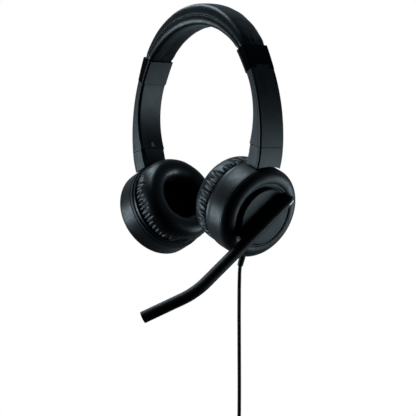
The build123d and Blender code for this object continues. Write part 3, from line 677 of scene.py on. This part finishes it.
MATERIALS = {
    "leatherette": leatherette(),
    "cushion_foam": foam(),
    "spring_steel": brushed_metal("spring_steel", (0.5, 0.5, 0.52), 0.3),
    "wire_insulation": rubber("wire_insulation", (0.02, 0.02, 0.02)),
    "gloss_black": gloss_plastic("gloss_black", (0.003, 0.0035, 0.0045)),
    "matte_black": moulded_plastic("matte_black", (0.011, 0.0135, 0.0155), 0.42),
    "inner_plastic": moulded_plastic("inner_plastic", (0.012, 0.012, 0.013), 0.55),
    "black_screw": screw_black_and_recess_shade(),
    "pin_steel": brushed_metal("pin_steel", (0.45, 0.45, 0.47), 0.25),
    "magnet_steel": brushed_metal("magnet_steel", (0.4, 0.4, 0.42), 0.35, (1, 1, 1)),
    "diaphragm_film": film(),
    "grille_fabric": woven("grille_fabric", (0.006, 0.006, 0.0065), 900),
    "board": board(),
    "mic_metal": brushed_metal("mic_metal", (0.6, 0.6, 0.62), 0.3),
    "mic_mesh": woven("mic_mesh", (0.004, 0.004, 0.004), 1400, 0.5),
    "indicator_white": light_guide(),
    "cord_rubber": rubber("cord_rubber", (0.009, 0.0095, 0.011), 0.45),
    "tie_strap": woven("tie_strap", (0.012, 0.012, 0.013), 500),
    "plug_metal": brushed_metal("plug_metal", (0.58, 0.57, 0.55), 0.28),
    "printed_mark": printed_mark(),
}


def finish_nodes():
    """Gives every CAD node the material of its slot."""
    for part in frame["record"]["subparts"]:
        node = frame["nodes"][part["node"]]
        material = MATERIALS[part["material_slot"]]
        if not node.material_slots:
            node.data.materials.append(material)
        for slot in node.material_slots:
            slot.material = material


# ---------------------------------------------------------------- floor, world and light
FLOOR_LEVEL = CAD_BOX[0].z - 0.9
FLOOR_RADIUS = 2.5
FLOOR_SIDES = 96
REFLECTED_DARK = (0.006, 0.008, 0.01, 1)
REFLECTED_BRIGHT = (0.17, 0.21, 0.24, 1)
LIGHT_COLOR = (0.7, 0.89, 1.0)
LIGHT_AIM = Vector((0, 0, -0.1))
# Each softbox: its metres to the right of the aim, beyond it and above it, its width and height in
# metres, and its watts.
SOFT_BOXES = {
    "right_box": (0.8, 0.12, -0.22, 0.35, 0.5, 2.6),
    "left_box": (-0.8, 0.13, -0.14, 0.24, 0.26, 2.4),
    "rear_box": (-0.35, 0.45, 0.65, 0.4, 0.3, 1.6),
    "top_box": (-0.28, 0.12, 0.8, 0.5, 0.3, 3.4),
}


def make_floor():
    """A pale disc far below, which the object neither mirrors nor takes light from."""
    edge = []
    for k in range(FLOOR_SIDES):
        angle = 2 * pi * k / FLOOR_SIDES
        edge.append((FLOOR_RADIUS * cos(angle), FLOOR_RADIUS * sin(angle), FLOOR_LEVEL))
    ground = new_object("floor", new_mesh("floor", edge, [tuple(range(FLOOR_SIDES))]))
    finish = Finish(
        "floor", (0.86, 0.86, 0.86), 0.9,
        Emission_Color=(1, 1, 1, 1), Emission_Strength=0.7,
    )
    finish.vary_color(finish.noise(3, 2), 0.99, 1.01)
    ground.data.materials.append(finish.material)
    ground.visible_diffuse = False
    ground.visible_glossy = False


def make_world(back):
    """White behind the object for the camera; for reflections only the far side is bright."""
    world = bpy.data.worlds.new("studio")
    world.use_nodes = True
    bpy.context.scene.world = world
    tree = world.node_tree
    tree.nodes.clear()
    output = tree.nodes.new("ShaderNodeOutputWorld")
    mix = tree.nodes.new("ShaderNodeMixShader")
    rays = tree.nodes.new("ShaderNodeLightPath")
    seen = tree.nodes.new("ShaderNodeBackground")
    seen.inputs["Color"].default_value = (1, 1, 1, 1)
    lit = tree.nodes.new("ShaderNodeBackground")
    place = tree.nodes.new("ShaderNodeTexCoord")
    dot = tree.nodes.new("ShaderNodeVectorMath")
    dot.operation = "DOT_PRODUCT"
    dot.inputs[1].default_value = -back
    ramp = tree.nodes.new("ShaderNodeValToRGB")
    stops = ramp.color_ramp.elements
    stops[0].position = 0.55
    stops[0].color = REFLECTED_DARK
    stops[1].position = 0.95
    stops[1].color = REFLECTED_BRIGHT
    spread = tree.nodes.new("ShaderNodeMapRange")
    spread.inputs["From Min"].default_value = -1
    tree.links.new(place.outputs["Generated"], dot.inputs[0])
    tree.links.new(dot.outputs["Value"], spread.inputs["Value"])
    tree.links.new(spread.outputs["Result"], ramp.inputs["Fac"])
    tree.links.new(ramp.outputs["Color"], lit.inputs["Color"])
    tree.links.new(rays.outputs["Is Camera Ray"], mix.inputs["Fac"])
    tree.links.new(lit.outputs["Background"], mix.inputs[1])
    tree.links.new(seen.outputs["Background"], mix.inputs[2])
    tree.links.new(mix.outputs["Shader"], output.inputs["Surface"])


def make_lights(back, right):
    """Rectangular softboxes that face the object."""
    for name, (rightwards, away, upwards, width, height, watts) in SOFT_BOXES.items():
        data = bpy.data.lights.new(name, "AREA")
        data.shape = "RECTANGLE"
        data.size = width
        data.size_y = height
        data.energy = watts
        data.color = LIGHT_COLOR
        light = new_object(name, data)
        light.location = LIGHT_AIM + right * rightwards - back * away + Vector((0, 0, upwards))
        light.rotation_mode = "QUATERNION"
        light.rotation_quaternion = (LIGHT_AIM - light.location).to_track_quat("-Z", "Y")


# ---------------------------------------------------------------- the scene
camera_back, camera_right = make_camera()
make_cord()
make_headband()
for side, body in ((1, "left_cup"), (-1, "right_cup")):
    make_cushion(side, body)
for letter, side, body in (("L", 1, "left_arm"), ("R", -1, "right_arm")):
    make_mark(letter, side, body)
finish_nodes()
make_floor()
make_world(camera_back)
make_lights(camera_back, camera_right)
bpy.context.scene.view_settings.view_transform = "Standard"

bpy.context.view_layer.update()
